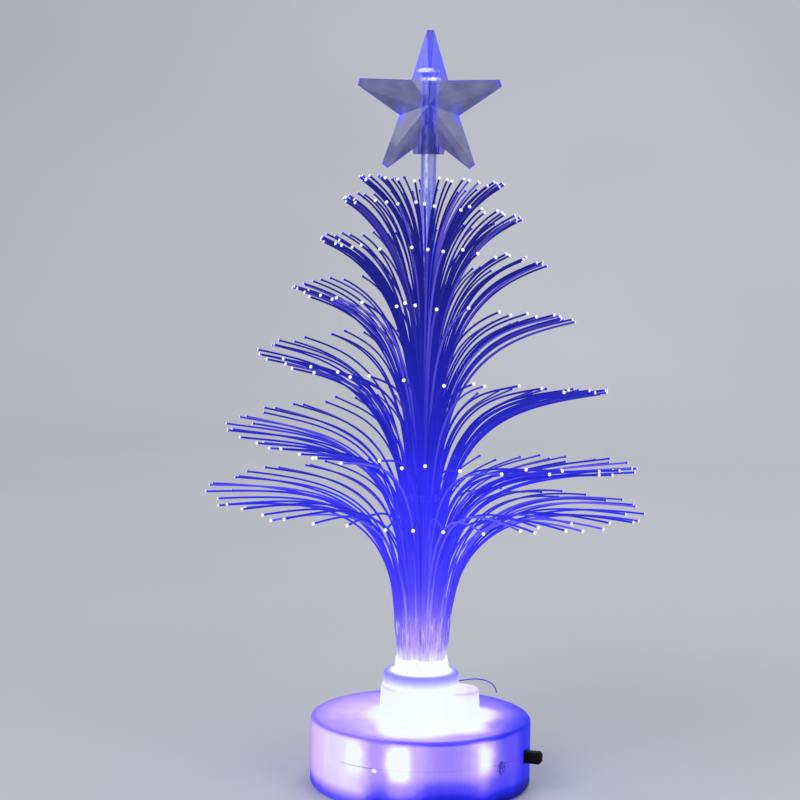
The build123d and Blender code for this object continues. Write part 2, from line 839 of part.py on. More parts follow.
pieces = {
    "upper_shell": upper_shell(),
    "lower_shell": lower_shell(),
    "battery_door": battery_door(),
    "door_screw": door_screw(),
    "shell_screws": shell_screws(),
    "circuit_board": circuit_board(),
    "led_lens": led_lens(),
    "led_leads": led_leads(),
    "led_resistor": led_resistor(),
    "contact_plate": contact_plate(),
    "contact_spring": contact_spring(),
    "switch_frame": switch_frame(),
    "switch_base": switch_base(),
    "switch_pins": switch_pins(),
    "switch_knob": switch_knob(),
    "ferrule_collar": ferrule_collar(),
    "glue_plug": glue_plug(),
    "light_rod": light_rod(),
    "star": star(),
    "bundle_tie": bundle_tie(),
    "stray_fibre": stray_fibre(),
    "wire_plus": wire_plus(),
    "wire_switch": wire_switch(),
    "wire_minus": wire_minus(),
}
for number in range(cell_count):
    pieces[f"button_cell_{number + 1}"] = button_cell(number)
for tier in range(tier_count):
    pieces[f"fibre_tier_{tier + 1}"] = fibre_tier(tier)

for name, shape in pieces.items():
    export_step(shape, f"parts/{name}.step")
    print(name, round(shape.volume, 2))
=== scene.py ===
import math

import bpy
import numpy as np
from mathutils import Matrix, Vector


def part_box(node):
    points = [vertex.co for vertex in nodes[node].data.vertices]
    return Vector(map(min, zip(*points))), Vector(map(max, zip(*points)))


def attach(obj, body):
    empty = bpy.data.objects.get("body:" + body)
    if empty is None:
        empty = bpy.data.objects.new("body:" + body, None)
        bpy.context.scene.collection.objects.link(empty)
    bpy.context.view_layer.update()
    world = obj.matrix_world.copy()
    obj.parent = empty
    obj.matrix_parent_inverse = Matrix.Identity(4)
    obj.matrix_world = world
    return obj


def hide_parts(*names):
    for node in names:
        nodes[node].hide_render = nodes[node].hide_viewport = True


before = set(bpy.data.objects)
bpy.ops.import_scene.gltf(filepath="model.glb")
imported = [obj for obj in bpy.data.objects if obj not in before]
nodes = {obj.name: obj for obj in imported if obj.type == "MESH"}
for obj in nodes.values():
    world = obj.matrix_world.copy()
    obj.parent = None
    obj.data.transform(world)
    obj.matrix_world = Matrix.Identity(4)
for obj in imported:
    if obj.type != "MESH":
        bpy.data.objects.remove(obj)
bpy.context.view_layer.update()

# Metres. The tree stands on z = 0 with its rod on the z axis; its front looks along -y.
# Azimuths are in degrees from the front, with plus to the right.

mm = 0.001

# Sizes read from the frame
boss_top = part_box("upper_shell")[1].z
collar_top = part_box("ferrule_collar")[1].z
glue_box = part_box("glue_plug")
rod_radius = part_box("light_rod")[1].x
star_low, star_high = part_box("star")

# Heights in the shells that no box gives: the seam between them, and the flat top of the base
seam_height = 9.2 * mm
base_top = 15.6 * mm

# The photograph's view: distance and height of the eye, then its tilt, turn and roll in degrees
eye_distance = 0.409
eye_height = 0.1212
eye_tilt = 4.63
eye_turn = 0.80
eye_roll = 0.77
photo_focal_pixels = 1807.0
photo_width_pixels = 800.0
sensor_width = 36.0
nearest_seen = 0.01
farthest_seen = 10.0


def clear_scene():
    """Remove the start-up camera, lamp and cube if they are there."""
    for name in ("Camera", "Light", "Cube"):
        thing = bpy.data.objects.get(name)
        if thing is not None and name not in nodes:
            bpy.data.objects.remove(thing)


def place_camera():
    """Stand the camera where the photograph was taken from."""
    data = bpy.data.cameras.new("photo_camera")
    data.sensor_width = sensor_width
    data.lens = sensor_width * photo_focal_pixels / photo_width_pixels
    data.clip_start = nearest_seen
    data.clip_end = farthest_seen
    camera = bpy.data.objects.new("photo_camera", data)
    bpy.context.scene.collection.objects.link(camera)
    turn = Matrix.Rotation(math.radians(eye_turn), 4, "Z")
    tilt = Matrix.Rotation(math.radians(90 - eye_tilt), 4, "X")
    roll = Matrix.Rotation(math.radians(eye_roll), 4, "Z")
    camera.matrix_world = Matrix.Translation((0, -eye_distance, eye_height)) @ turn @ tilt @ roll
    bpy.context.scene.camera = camera


# Materials


def linear(red, green, blue):
    """A colour given as 0 to 255 screen values, as linear light by the sRGB curve."""
    shares = np.array([red, green, blue]) / 255.0
    low = shares / 12.92
    high = ((shares + 0.055) / 1.055) ** 2.4
    return tuple(float(v) for v in np.where(shares <= 0.04045, low, high)) + (1.0,)


# Colours of blue lamp light as it soaks through the pieces, from dim to flooded
no_light = (0.0, 0.0, 0.0, 1.0)
night_blue = linear(18, 20, 140)
deep_blue = linear(44, 42, 238)
mid_blue = linear(100, 86, 252)
lavender = linear(184, 156, 252)
pale_lavender = linear(226, 200, 253)
flooded_white = linear(244, 252, 254)
full_light = (1.0, 1.0, 1.0, 1.0)

lamp_stops = [
    (0.0, night_blue),
    (0.1, deep_blue),
    (0.37, mid_blue),
    (0.66, lavender),
    (0.84, pale_lavender),
    (1.0, flooded_white),
]


class Nodes:
    """Short ways to build one material's node tree.

    Each returns an output socket. A value or colour handed in is a number, a tuple or such a socket.
    A noise's scale is about the number of its lumps in a metre.
    """

    def __init__(self, name):
        self.material = bpy.data.materials.new(name)
        self.material.use_nodes = True
        self.tree = self.material.node_tree
        self.tree.nodes.clear()
        self.output = self.tree.nodes.new("ShaderNodeOutputMaterial")
        self.shader = self.tree.nodes.new("ShaderNodeBsdfPrincipled")
        self.tree.links.new(self.shader.outputs[0], self.output.inputs[0])
        self.coordinates = self.tree.nodes.new("ShaderNodeTexCoord")

    def link(self, source, target):
        """Join an output to an input."""
        self.tree.links.new(source, target)

    def set(self, **values):
        """Set the shader's own sockets; an underscore in a name stands for a space."""
        for key, value in values.items():
            self.shader.inputs[key.replace("_", " ")].default_value = value

    def put(self, socket, value):
        """Give an input a number, a colour or a link."""
        if hasattr(value, "links"):
            self.link(value, socket)
        else:
            socket.default_value = value

    def math(self, operation, first, second=0.0, third=0.0, clamp=False):
        """One Math node."""
        node = self.tree.nodes.new("ShaderNodeMath")
        node.operation = operation
        node.use_clamp = clamp
        for socket, value in zip(node.inputs, (first, second, third)):
            self.put(socket, value)
        return node.outputs[0]

    def total(self, *values):
        """The sum of several values."""
        result = values[0]
        for value in values[1:]:
            result = self.math("ADD", result, value)
        return result

    def product(self, *values):
        """The product of several values."""
        result = values[0]
        for value in values[1:]:
            result = self.math("MULTIPLY", result, value)
        return result

    def less(self, first, second):
        """The first value less the second."""
        return self.math("SUBTRACT", first, second)

    def larger(self, first, second):
        """The larger of two values."""
        return self.math("MAXIMUM", first, second)

    def centred(self, value, amount):
        """A value about 0.5 turned into one about zero, times an amount."""
        return self.product(self.less(value, 0.5), amount)

    def scaled(self, value, start, reach):
        """How far a value is past a start, in shares of a reach."""
        return self.product(self.less(value, start), 1.0 / reach)

    def length(self, first, second):
        """The length of a flat step given by two values."""
        return self.math("SQRT", self.total(self.product(first, first), self.product(second, second)))

    def place(self):
        """X, Y and Z of the Object coordinates."""
        split = self.tree.nodes.new("ShaderNodeSeparateXYZ")
        self.link(self.coordinates.outputs["Object"], split.inputs[0])
        return split.outputs[0], split.outputs[1], split.outputs[2]

    def steps(self, value, low, high, from_value=0.0, to_value=1.0):
        """A smooth step of a value from low to high."""
        node = self.tree.nodes.new("ShaderNodeMapRange")
        node.interpolation_type = "SMOOTHSTEP"
        self.put(node.inputs["Value"], value)
        node.inputs["From Min"].default_value = low
        node.inputs["From Max"].default_value = high
        node.inputs["To Min"].default_value = from_value
        node.inputs["To Max"].default_value = to_value
        return node.outputs["Result"]

    def bump_of(self, value, centre, reach, height=1.0):
        """A smooth hill of a value: its height at the centre, nothing beyond its reach."""
        away = self.math("ABSOLUTE", self.less(value, centre))
        return self.steps(away, reach, 0.0, 0.0, height)

    def window(self, value, low, high, soft):
        """One between low and high, zero outside, with soft sides."""
        rising = self.steps(value, low - soft, low + soft)
        falling = self.steps(value, high + soft, high - soft)
        return self.product(rising, falling)

    def noise(self, scale, detail=3.0, roughness=0.5):
        """Noise on Object coordinates; three scales stretch it along the axes."""
        node = self.tree.nodes.new("ShaderNodeTexNoise")
        node.inputs["Detail"].default_value = detail
        node.inputs["Roughness"].default_value = roughness
        source = self.coordinates.outputs["Object"]
        if isinstance(scale, tuple):
            mapping = self.tree.nodes.new("ShaderNodeMapping")
            mapping.inputs["Scale"].default_value = scale
            self.link(source, mapping.inputs[0])
            source = mapping.outputs[0]
            scale = 1.0
        node.inputs["Scale"].default_value = scale
        self.link(source, node.inputs["Vector"])
        return node.outputs[0]

    def ramp(self, value, stops, between="LINEAR"):
        """A colour ramp; stops are (place, colour)."""
        node = self.tree.nodes.new("ShaderNodeValToRGB")
        node.color_ramp.interpolation = between
        self.put(node.inputs[0], value)
        elements = node.color_ramp.elements
        elements[0].position, elements[0].color = stops[0]
        elements[1].position, elements[1].color = stops[-1]
        for place, colour in stops[1:-1]:
            element = elements.new(place)
            element.color = colour
        return node.outputs[0]

    def cloudy_ramp(self, scale, detail, dark, light, spread):
        """Two colours mixed by noise, each at its place on the ramp, a spread away from the middle."""
        return self.ramp(self.noise(scale, detail), [(0.5 - spread, dark), (0.5 + spread, light)])

    def round_ramp(self, turn, levels):
        """A level read round the axis; levels are (azimuth, value) from -180 to 180."""
        stops = [(0.5 + azimuth / 360.0, (v, v, v, 1.0)) for azimuth, v in levels]
        return self.ramp(turn, stops, "CARDINAL")

    def blend(self, share, first, second):
        """A mix of two values."""
        return self.math("MULTIPLY_ADD", self.less(second, first), share, first)

    def mix(self, share, first, second):
        """A mix of two colours."""
        node = self.tree.nodes.new("ShaderNodeMix")
        node.data_type = "RGBA"
        self.put(node.inputs["Factor"], share)
        sockets = [socket for socket in node.inputs if socket.type == "RGBA"]
        for socket, colour in zip(sockets, (first, second)):
            self.put(socket, colour)
        return next(socket for socket in node.outputs if socket.type == "RGBA")

    def attribute(self, name):
        """A named attribute of the mesh, as a value."""
        node = self.tree.nodes.new("ShaderNodeAttribute")
        node.attribute_name = name
        return node.outputs["Fac"]

    def relief(self, height, distance, strength):
        """Bump from a height value."""
        node = self.tree.nodes.new("ShaderNodeBump")
        node.inputs["Strength"].default_value = strength
        node.inputs["Distance"].default_value = distance
        self.link(height, node.inputs["Height"])
        self.link(node.outputs[0], self.shader.inputs["Normal"])

    def give_off(self, colour, strength):
        """Let the surface give off a colour."""
        self.link(colour, self.shader.inputs["Emission Color"])
        self.shader.inputs["Emission Strength"].default_value = strength

    def glow(self, colour, strength, body=0.3):
        """Let the surface give off a colour, over a darker body of the same colour."""
        self.link(self.mix(1.0 - body, colour, no_light), self.shader.inputs["Base Color"])
        self.give_off(colour, strength)


# The shells, lit from inside. Levels run from 0, where the lamp hardly reaches, to 1, flooded white.
# Tables by azimuth go once round and end alike at the back.

# Level on the wall above the cells' shadow
wall_levels = [
    (-180.0, 0.42),
    (-140.0, 0.60),
    (-110.0, 0.44),
    (-86.0, 0.54),
    (-72.0, 0.76),
    (-50.0, 0.88),
    (-32.0, 0.88),
    (-24.0, 0.62),
    (-12.0, 0.78),
    (-3.0, 0.74),
    (4.0, 0.60),
    (12.0, 0.50),
    (22.0, 0.58),
    (33.0, 0.76),
    (45.0, 0.36),
    (57.0, 0.28),
    (64.0, 0.07),
    (74.0, 0.01),
    (88.0, 0.0),
    (110.0, 0.16),
    (130.0, 0.36),
    (150.0, 0.52),
    (180.0, 0.42),
]

# How strongly the cells' shadow takes light off the lower wall
shade_levels = [
    (-180.0, 0.6),
    (-110.0, 0.25),
    (-30.0, 0.10),
    (-23.0, 0.62),
    (-12.0, 0.56),
    (-3.0, 0.72),
    (5.0, 1.0),
    (14.0, 1.22),
    (24.0, 1.12),
    (34.0, 0.84),
    (46.0, 0.40),
    (62.0, 0.12),
    (110.0, 0.12),
    (180.0, 0.6),
]

# Painted pools of light on the wall, where the lamp shines between the parts inside: azimuths from and to,
# their softness, heights from and to in mm, added level
wall_light_pools = [
    (-38.5, -29.0, 3.2, 8.0, 14.2, 0.20),
    (-16.8, -5.4, 3.4, 7.0, 14.4, 0.40),
    (31.0, 40.0, 3.0, 8.0, 14.3, 0.28),
    (-138.0, -124.0, 3.0, 6.0, 14.0, 0.30),
    (140.0, 158.0, 3.0, 6.0, 14.0, 0.34),
]

# On the base's top: how far the flooded white reaches in mm, the level past it, and the level at the rim
longest_reach = 20.0
white_reaches = [
    (-180.0, 10.8),
    (-110.0, 10.5),
    (-80.0, 11.2),
    (-60.0, 11.2),
    (-40.0, 13.2),
    (-21.0, 19.4),
    (0.0, 19.4),
    (20.0, 17.4),
    (42.0, 18.8),
    (62.0, 15.6),
    (100.0, 16.2),
    (125.0, 13.6),
    (180.0, 10.8),
]
past_levels = [
    (-180.0, 0.56),
    (-100.0, 0.70),
    (-60.0, 0.64),
    (-25.0, 0.76),
    (0.0, 0.84),
    (24.0, 0.60),
    (45.0, 0.60),
    (66.0, 0.38),
    (100.0, 0.42),
    (140.0, 0.42),
    (180.0, 0.56),
]
rim_levels = [
    (-180.0, 0.40),
    (-100.0, 0.50),
    (-60.0, 0.54),
    (-20.0, 0.58),
    (4.0, 0.64),
    (30.0, 0.56),
    (44.0, 0.42),
    (62.0, 0.05),
    (90.0, 0.03),
    (120.0, 0.26),
    (180.0, 0.40),
]

# Steps of light, each as (from, to), with levels after them where they aren't 0 and 1
shadow_step = (8.8 * mm, 3.2 * mm, 0.0, 0.5)
foot_step = (4.5 * mm, 0.4 * mm, 0.0, 0.62)
white_edge_step = (-1.0 * mm, 4.2 * mm)
bloom_step = (21.5 * mm, 11.5 * mm, 0.0, 0.13)
rim_step = (20.0 * mm, 24.6 * mm)
top_step = (base_top - 0.6 * mm, base_top - 0.1 * mm)
boss_foot_step = (base_top, base_top + 1.4 * mm)
boss_side_step = (16.2 * mm, 14.8 * mm)
underside_step = (24.0 * mm, 4.0 * mm, 0.10, 0.42)
underside_clouds = 1.2
bottom_step = (1.0 * mm, 0.3 * mm)
bottom_rim_step = (25.0 * mm, 24.4 * mm)

# Softness of the heights of the painted pools of light, then noise: how far azimuths wander in degrees, and
# how deep upright streaks in the wall and clouds in the top go, each with its scale
light_pool_softness = 1.8 * mm
side_wander = 7.0
wander_scale = 150.0
streak_depth = 0.12
streak_scales = (420.0, 420.0, 60.0)
cloud_depth = 0.16
cloud_scale = 210.0

# The dark line that the rounded top edge shows: its height and half width, where it lies, and its azimuths
edge_height = base_top - 0.3 * mm
edge_half_width = 0.8 * mm
edge_rim_step = (23.6 * mm, 24.4 * mm)
edge_grows = (-34.0, 2.0, 0.13, 0.36)
edge_ends = (70.0, 44.0)

# Where the cells lie over the underside, and the light that they take there
cells_half_length = 17.0 * mm
cells_from = -16.0 * mm
cells_to = -2.0 * mm
cells_softness = 3.0 * mm
cells_shade = 0.2

# The boss's upper edge (from, to, softness), dimmer at its two sides, and the shade under the lobe's top
brink_window = (boss_top - 0.6 * mm, boss_top - 0.1 * mm, 0.2 * mm)
brink_depth = 0.13
brink_right_step = (6.0 * mm, 9.0 * mm)
brink_left_step = (-4.0 * mm, -8.0 * mm)
lobe_height_step = (boss_top - 2.6 * mm, boss_top - 0.6 * mm)
lobe_side_step = (8.8 * mm, 11.2 * mm)
lobe_depth = 0.08

# From level to place on the lamp's ramp: the place of level 0, and the slopes over and under it
level_start = 0.1
bright_slope = 0.9
dark_slope = 0.24

# Marks on the wall, and painted light that leaks out under the seam. The seam is darker in two windows of
# azimuth (from, to, softness).
seam_half_width = 0.18 * mm
seam_depth = 0.1
left_seam_window = (-44.0, -25.0, 2.0)
left_seam_depth = 0.5
right_seam_window = (42.0, 57.0, 3.0)
right_seam_depth = 0.42
seam_colour = linear(84, 66, 176)
leak_azimuth = -23.2
leak_half_turn = 1.6
leak_height = seam_height - 0.4 * mm
leak_half_height = 0.5 * mm
leak_gain = 1.6
spot_azimuth = 45.6
spot_half_turn = 3.4
spot_height = 8.3 * mm
spot_half_height = 1.6 * mm
spot_edge_step = (1.15, 0.75)
spot_raggedness = 1.1
spot_rag_scale = 1300.0
mottle_scale = 2300.0
mottle_step = (0.42, 0.58, 0.28, 0.88)
spot_colour = linear(24, 18, 160)


def wall_light(n, z, turn, wandering):
    """Light on the base's wall: by azimuth, with painted pools of light and streaks, less a shadow and a dim
    foot.
    """
    shadow = n.product(n.steps(z, *shadow_step), n.round_ramp(turn, shade_levels))
    light = n.less(n.round_ramp(turn, wall_levels), shadow)
    for low, high, soft, foot, head, gain in wall_light_pools:
        across = n.window(wandering, low, high, soft)
        upward = n.window(z, foot * mm, head * mm, light_pool_softness)
        light = n.total(light, n.product(across, upward, gain))
    light = n.total(light, n.centred(n.noise(streak_scales, 4.0, 0.6), streak_depth))
    return n.less(light, n.steps(z, *foot_step))


def top_light(n, reach, turn, cloud):
    """Light on the base's top: flooded white round the boss, dimmer past it, and by azimuth at the rim."""
    reaches = [(azimuth, far / longest_reach) for azimuth, far in white_reaches]
    white_reach = n.product(n.round_ramp(turn, reaches), longest_reach * mm)
    past = n.total(n.round_ramp(turn, past_levels), n.steps(reach, *bloom_step))
    inner = n.blend(n.steps(n.less(reach, white_reach), *white_edge_step), 1.0, past)
    return n.total(n.blend(n.steps(reach, *rim_step), inner, n.round_ramp(turn, rim_levels)), cloud)


def under_light(n, x, y, reach, cloud):
    """Light on the underside: more to the middle, less under the cells."""
    light = n.total(n.steps(reach, *underside_step), n.product(cloud, underside_clouds))
    along = n.window(x, -cells_half_length, cells_half_length, cells_softness)
    across = n.window(y, cells_from, cells_to, cells_softness)
    return n.less(light, n.product(along, across, cells_shade))


def edge_shade(n, z, reach, azimuth):
    """The dark line along the rounded top edge, from the left of the front round to the right."""
    line = n.product(n.bump_of(z, edge_height, edge_half_width), n.steps(reach, *edge_rim_step))
    return n.product(line, n.steps(azimuth, *edge_grows), n.steps(azimuth, *edge_ends))


def boss_shade(n, x, z):
    """Dimmer light at the sides of the boss's upper edge and under the lobe's top."""
    sides = n.total(n.steps(x, *brink_right_step), n.steps(x, *brink_left_step))
    brink = n.product(n.window(z, *brink_window), brink_depth, sides)
    lobe = n.product(n.steps(z, *lobe_height_step), n.steps(x, *lobe_side_step), lobe_depth)
    return n.total(brink, lobe)


def wall_marks_and_leaked_light(n, colour, azimuth, wandering, z):
    """The wall's colour with the seam, painted light that leaks out under it, and a mottled dark spot."""
    left_end = n.product(n.window(wandering, *left_seam_window), left_seam_depth)
    right_end = n.product(n.window(azimuth, *right_seam_window), right_seam_depth)
    seam = n.product(n.bump_of(z, seam_height, seam_half_width), n.total(left_end, right_end, seam_depth))
    colour = n.mix(seam, colour, seam_colour)
    leak_across = n.bump_of(azimuth, leak_azimuth, leak_half_turn, leak_gain)
    leak = n.product(leak_across, n.bump_of(z, leak_height, leak_half_height, leak_gain))
    colour = n.mix(n.math("MINIMUM", leak, 1.0), colour, full_light)
    away = n.length(
        n.scaled(azimuth, spot_azimuth, spot_half_turn),
        n.scaled(z, spot_height, spot_half_height),
    )
    away = n.total(away, n.centred(n.noise(spot_rag_scale, 2.0), spot_raggedness))
    mottle = n.steps(n.noise(mottle_scale, 2.0), *mottle_step)
    return n.mix(n.product(n.steps(away, *spot_edge_step), mottle), colour, spot_colour)


def shell_material():
    """Milky plastic lit from inside: bright windows round the wall, shade from the cells, a glowing top."""
    n = Nodes("milky_shell")
    x, y, z = n.place()
    reach = n.length(x, y)
    azimuth = n.product(n.math("ARCTAN2", x, n.product(y, -1.0)), 180.0 / math.pi)
    wandering = n.total(azimuth, n.centred(n.noise(wander_scale), side_wander))
    turn = n.math("MULTIPLY_ADD", wandering, 1.0 / 360.0, 0.5)
    cloud = n.centred(n.noise(cloud_scale, 4.0), cloud_depth)
    wall = wall_light(n, z, turn, wandering)
    level = n.blend(n.steps(z, *top_step), wall, top_light(n, reach, turn, cloud))
    boss = n.product(n.steps(z, *boss_foot_step), n.steps(reach, *boss_side_step))
    level = n.math("MINIMUM", n.total(level, boss), 1.0)
    level = n.less(level, edge_shade(n, z, reach, azimuth))
    bottom = n.product(n.steps(z, *bottom_step), n.steps(reach, *bottom_rim_step))
    level = n.blend(bottom, level, under_light(n, x, y, reach, cloud))
    level = n.less(level, boss_shade(n, x, z))
    bright = n.product(n.larger(level, 0.0), bright_slope)
    dark = n.product(n.math("MINIMUM", level, 0.0), dark_slope)
    colour = n.ramp(n.total(bright, dark, level_start), lamp_stops)
    n.glow(wall_marks_and_leaked_light(n, colour, azimuth, wandering, z), 0.82, body=0.2)
    n.set(Roughness=0.42, IOR=1.46, Specular_IOR_Level=0.04)
    n.relief(n.noise(1400.0, 4.0, 0.6), 0.03 * mm, 0.5)
    return n.material


# The ferrule: its colours, the height over which its wall brightens downwards, where its top lies, where that
# brightens inwards, and where its two sides dim. A gain and a start make each level.
ferrule_stops = [
    (0.0, linear(96, 92, 236)),
    (0.25, linear(140, 138, 242)),
    (0.55, linear(178, 176, 250)),
    (0.85, linear(222, 224, 253)),
    (1.0, flooded_white),
]
collar_wall_top = collar_top - 0.2 * mm
collar_wall_reach = 2.6 * mm
collar_wall_gain = (0.80, 0.24)
collar_top_step = (collar_top - 0.4 * mm, collar_top - 0.1 * mm)
collar_inner_step = (7.8 * mm, 6.6 * mm)
collar_inner_gain = (0.75, 0.34)
collar_right_step = (6.5 * mm, 8.6 * mm, 0.0, -0.16)
collar_left_step = (-7.0 * mm, -8.6 * mm, 0.0, -0.12)


def collar_material():
    """Ferrule plastic: lavender-blue round its rim, flooded where it meets the glue and at its foot."""
    n = Nodes("ferrule_plastic")
    x, y, z = n.place()
    below = n.math("MULTIPLY", n.less(collar_wall_top, z), 1.0 / collar_wall_reach, clamp=True)
    wall = n.math("MULTIPLY_ADD", below, *collar_wall_gain)
    top = n.math("MULTIPLY_ADD", n.steps(n.length(x, y), *collar_inner_step), *collar_inner_gain)
    level = n.blend(n.steps(z, *collar_top_step), wall, top)
    level = n.total(level, n.steps(x, *collar_right_step), n.steps(x, *collar_left_step))
    cloud = n.centred(n.noise(420.0, 4.0), 0.14)
    n.glow(n.ramp(n.math("ADD", level, cloud, clamp=True), ferrule_stops), 0.84, body=0.22)
    n.set(Roughness=0.36, IOR=1.46, Specular_IOR_Level=0.12)
    n.relief(n.noise(1500.0), 0.02 * mm, 0.4)
    return n.material


def glue_material():
    """Hot glue flooded with light, clouded and a little bubbly."""
    n = Nodes("flooded_glue")
    level = n.math("ADD", n.product(n.noise(700.0, 5.0, 0.6), 0.5), 0.77, clamp=True)
    n.glow(n.ramp(level, lamp_stops), 0.8)
    n.set(Roughness=0.18, IOR=1.48)
    n.relief(n.noise(900.0, 4.0), 0.12 * mm, 0.6)
    return n.material


# A fibre's colours by height, with places in shares of a range of heights
fibre_range_start = 26.0 * mm
fibre_range = 120.0 * mm
fibre_stops = [
    (0.0, flooded_white),
    (0.028, linear(236, 232, 252)),
    (0.048, linear(188, 166, 250)),
    (0.085, linear(164, 138, 249)),
    (0.12, linear(114, 94, 250)),
    (0.165, linear(80, 70, 251)),
    (0.25, linear(58, 56, 250)),
    (0.37, linear(48, 47, 242)),
    (0.44, linear(37, 39, 202)),
    (0.58, linear(31, 33, 170)),
    (0.72, linear(28, 31, 140)),
    (1.0, linear(26, 28, 116)),
]


def fibre_material():
    """A light guide: violet-white where it leaves the ferrule, blue along its side, white at its cut end.

    The mesh gives each point "along", how far out on the arch it lies, "vein", a number of the fibre's own,
    and "tip", how far it is lit as the cut end.
    """
    n = Nodes("light_guide")
    x, y, z = n.place()
    along = n.attribute("along")
    vein = n.attribute("vein")
    tip = n.attribute("tip")
    ragged = n.product(n.centred(vein, 0.02), n.steps(z, 60 * mm, 40 * mm))
    colour = n.ramp(n.total(n.scaled(z, fibre_range_start, fibre_range), ragged), fibre_stops)
    low_arch = n.product(n.steps(along, 0.2, 0.8), n.steps(z, 90 * mm, 50 * mm), 0.6)
    colour = n.mix(low_arch, colour, linear(42, 43, 220))

    # Fibres differ most on their arches and low in the sheaf
    low_down = n.product(n.steps(z, 68 * mm, 56 * mm), 0.8)
    contrast = n.larger(n.steps(along, 0.05, 0.4, 0.25, 1.0), low_down)
    bright = n.mix(n.steps(z, 38 * mm, 50 * mm), linear(206, 190, 254), linear(124, 112, 254))
    colour = n.mix(n.product(n.steps(vein, 0.70, 0.95, 0.0, 0.5), contrast), colour, bright)
    dim = n.mix(n.steps(z, 36 * mm, 50 * mm), linear(96, 74, 216), linear(24, 24, 150))
    colour = n.mix(n.product(n.steps(vein, 0.34, 0.02, 0.0, 0.5), contrast), colour, dim)
    side = n.steps(n.math("ABSOLUTE", x), 3.4 * mm, 5.6 * mm)
    colour = n.mix(n.product(side, n.window(z, 32 * mm, 56 * mm, 3 * mm), 0.5), colour, linear(60, 52, 246))

    # Dark and bright flecks just over the glue
    fleck = n.noise((1500.0, 1500.0, 260.0), 2.0)
    foot = n.window(z, 30 * mm, 40 * mm, 2 * mm)
    colour = n.mix(n.product(n.steps(fleck, 0.56, 0.66, 0.0, 0.45), foot), colour, linear(96, 70, 196))
    colour = n.mix(n.product(n.steps(fleck, 0.42, 0.34, 0.0, 0.40), foot), colour, linear(236, 226, 254))

    behind = n.product(n.steps(y, 2 * mm, 24 * mm, 0.0, 0.5), n.steps(z, 40 * mm, 70 * mm))
    colour = n.mix(behind, colour, linear(26, 28, 124))
    colour = n.mix(n.steps(tip, 0.05, 0.3), colour, linear(72, 70, 255))
    colour = n.mix(n.steps(tip, 0.5, 0.8), colour, full_light)
    n.glow(colour, 0.85, body=0.22)
    n.set(Roughness=0.35, IOR=1.49, Specular_IOR_Level=0.07)
    return n.material


def stray_material():
    """The stray fibre: a painted deep blue glow of the light it carries, with slow changes along it."""
    n = Nodes("stray_guide")
    n.glow(n.cloudy_ramp(260.0, 2.0, linear(30, 30, 176), linear(64, 62, 232), 0.15), 0.8, body=0.25)
    n.set(Roughness=0.3, IOR=1.49, Specular_IOR_Level=0.15)
    return n.material


def tie_material():
    """Thin clear tape with a painted blue glow, the light of the fibres that it holds."""
    n = Nodes("clear_tie")
    n.glow(n.cloudy_ramp(500.0, 3.0, linear(50, 50, 240), linear(84, 82, 253), 0.15), 0.8)
    n.set(Roughness=0.2, IOR=1.46, Specular_IOR_Level=0.2)
    return n.material


# Light in the star. Heights are over the star's heart; a glint is (height, half height, x, half width, gain).
star_heart = (star_low.z + star_high.z) / 2 - 1.7 * mm
star_stops = [(0.0, no_light), (0.6, linear(24, 26, 150)), (1.0, linear(58, 64, 252))]
star_glints = [
    (8.1 * mm, 0.6 * mm, -0.9 * mm, 2.3 * mm, 1.7),
    (6.1 * mm, 0.6 * mm, 0.2 * mm, 2.6 * mm, 1.4),
    (9.5 * mm, 0.9 * mm, -3.4 * mm, 0.6 * mm, 1.3),
]


def star_light(n):
    """Level of light in the star: gathered in the top arm, the hub, the thin rim and the upper notches."""
    x, y, z = n.place()
    height = n.less(z, star_heart)
    side = n.math("ABSOLUTE", x)
    arm = n.product(n.steps(height, 4.5 * mm, 8.5 * mm), n.steps(height, 17 * mm, 10 * mm, 0.55, 1.0))
    arm = n.product(arm, n.steps(side, 9 * mm, 3 * mm))
    hub = n.product(n.bump_of(x, 0.0, 3.6 * mm, 0.4), n.steps(height, -11 * mm, 6 * mm, 0.25, 0.9))
    patch = n.steps(n.noise((700.0, 700.0, 160.0)), 0.36, 0.6, 0.6, 1.0)
    rim = n.product(n.steps(n.math("ABSOLUTE", y), 0.9 * mm, 0.6 * mm), n.noise(260.0), 1.1)
    web = n.product(n.steps(side, 5.6 * mm, 5.0 * mm), n.steps(height, -7 * mm, -9 * mm))
    rim = n.product(rim, n.less(1.0, n.product(web, 0.65)))
    notch = n.product(n.bump_of(side, 6.8 * mm, 2.2 * mm), n.bump_of(height, -2.2 * mm, 2.2 * mm))
    level = n.larger(n.product(n.larger(arm, hub), patch), n.larger(rim, notch))
    shine = []
    for centre, half_height, middle, half_width, gain in star_glints:
        upward = n.bump_of(height, centre, half_height, gain)
        shine.append(n.product(upward, n.bump_of(x, middle, half_width, gain)))
    glint = n.product(n.total(*shine), n.steps(n.noise(900.0, 2.0), 0.36, 0.54))
    return level, n.math("MINIMUM", glint, 1.0)


def clear_material(name, with_glow):
    """Clear cast plastic with a cold tint; where asked, with the star's light in it."""
    n = Nodes(name)
    tint = n.cloudy_ramp(300.0, 3.0, linear(126, 130, 184), linear(164, 168, 212), 0.2)
    n.set(Roughness=0.04, IOR=1.49, Transmission_Weight=1.0)
    if with_glow:
        level, glint = star_light(n)
        n.give_off(n.mix(glint, n.ramp(level, star_stops), linear(214, 212, 255)), 0.8)
        # Where the star's light gathers, the glass's own colour is painted blue as well: painted light
        tint = n.mix(n.math("MULTIPLY", level, 0.9, clamp=True), tint, linear(46, 48, 236))
    n.link(tint, n.shader.inputs["Base Color"])
    return n.material


# Light in the rod, from low down to its top
rod_stops = [
    (0.0, linear(54, 56, 220)),
    (0.4, linear(34, 38, 132)),
    (0.8, linear(22, 24, 60)),
    (1.0, linear(26, 28, 80)),
]


